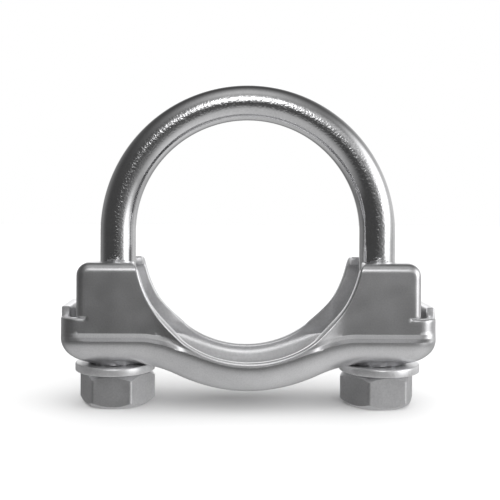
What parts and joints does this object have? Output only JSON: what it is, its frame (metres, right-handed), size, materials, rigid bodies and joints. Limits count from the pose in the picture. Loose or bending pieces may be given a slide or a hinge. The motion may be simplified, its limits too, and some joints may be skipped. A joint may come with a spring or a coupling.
{
  "type": "u-bolt pipe clamp",
  "caption": "U-bolt clamp for round pipe: bent threaded rod, pressed channel saddle with a pipe seat, plain washers and hexagon nuts.",
  "frame": {"origin": "the clamped pipe's axis, at mid-depth of the saddle", "axes": "+Y along the pipe, +Z from the saddle towards the bow, +X across both legs"},
  "size_m": [0.0714, 0.021, 0.0626],
  "materials": {
    "rod": "bright zinc plating over drawn rod, glossy",
    "pressing": "bright zinc plating over pressed sheet, satin",
    "washers": "bright zinc plating, satin",
    "nuts": "bright zinc plating over cold-formed steel, satin"
  },
  "bodies": {
    "u_bolt": {"u_bolt": "rod"},
    "saddle": {"saddle": "pressing"},
    "washer_left": {"washer_left": "washers"},
    "washer_right": {"washer_right": "washers"},
    "nut_left": {"nut_left": "nuts"},
    "nut_right": {"nut_right": "nuts"}
  },
  "joints": [
    {"name": "saddle_slide", "type": "slide", "parent": "u_bolt", "child": "saddle", "axis": [0, 0, 1], "range_m": [0, 0.015]},
    {"name": "washer_left_slide", "type": "slide", "parent": "u_bolt", "child": "washer_left", "axis": [0, 0, 1], "range_m": [-0.005, 0]},
    {"name": "washer_right_slide", "type": "slide", "parent": "u_bolt", "child": "washer_right", "axis": [0, 0, 1], "range_m": [-0.005, 0]},
    {"name": "nut_left_turn", "type": "hinge", "parent": "washer_left", "child": "nut_left", "pos_m": [-0.0256, 0, -0.023], "axis": [0, 0, 1], "range_deg": [-1440, 0]},
    {"name": "nut_right_turn", "type": "hinge", "parent": "washer_right", "child": "nut_right", "pos_m": [0.0256, 0, -0.023], "axis": [0, 0, 1], "range_deg": [-1440, 0]}
  ],
  "couplings": [
    {"joint": "washer_left_slide", "follows": "nut_left_turn", "m_per_rad": 0.00019894},
    {"joint": "washer_right_slide", "follows": "nut_right_turn", "m_per_rad": 0.00019894}
  ]
}
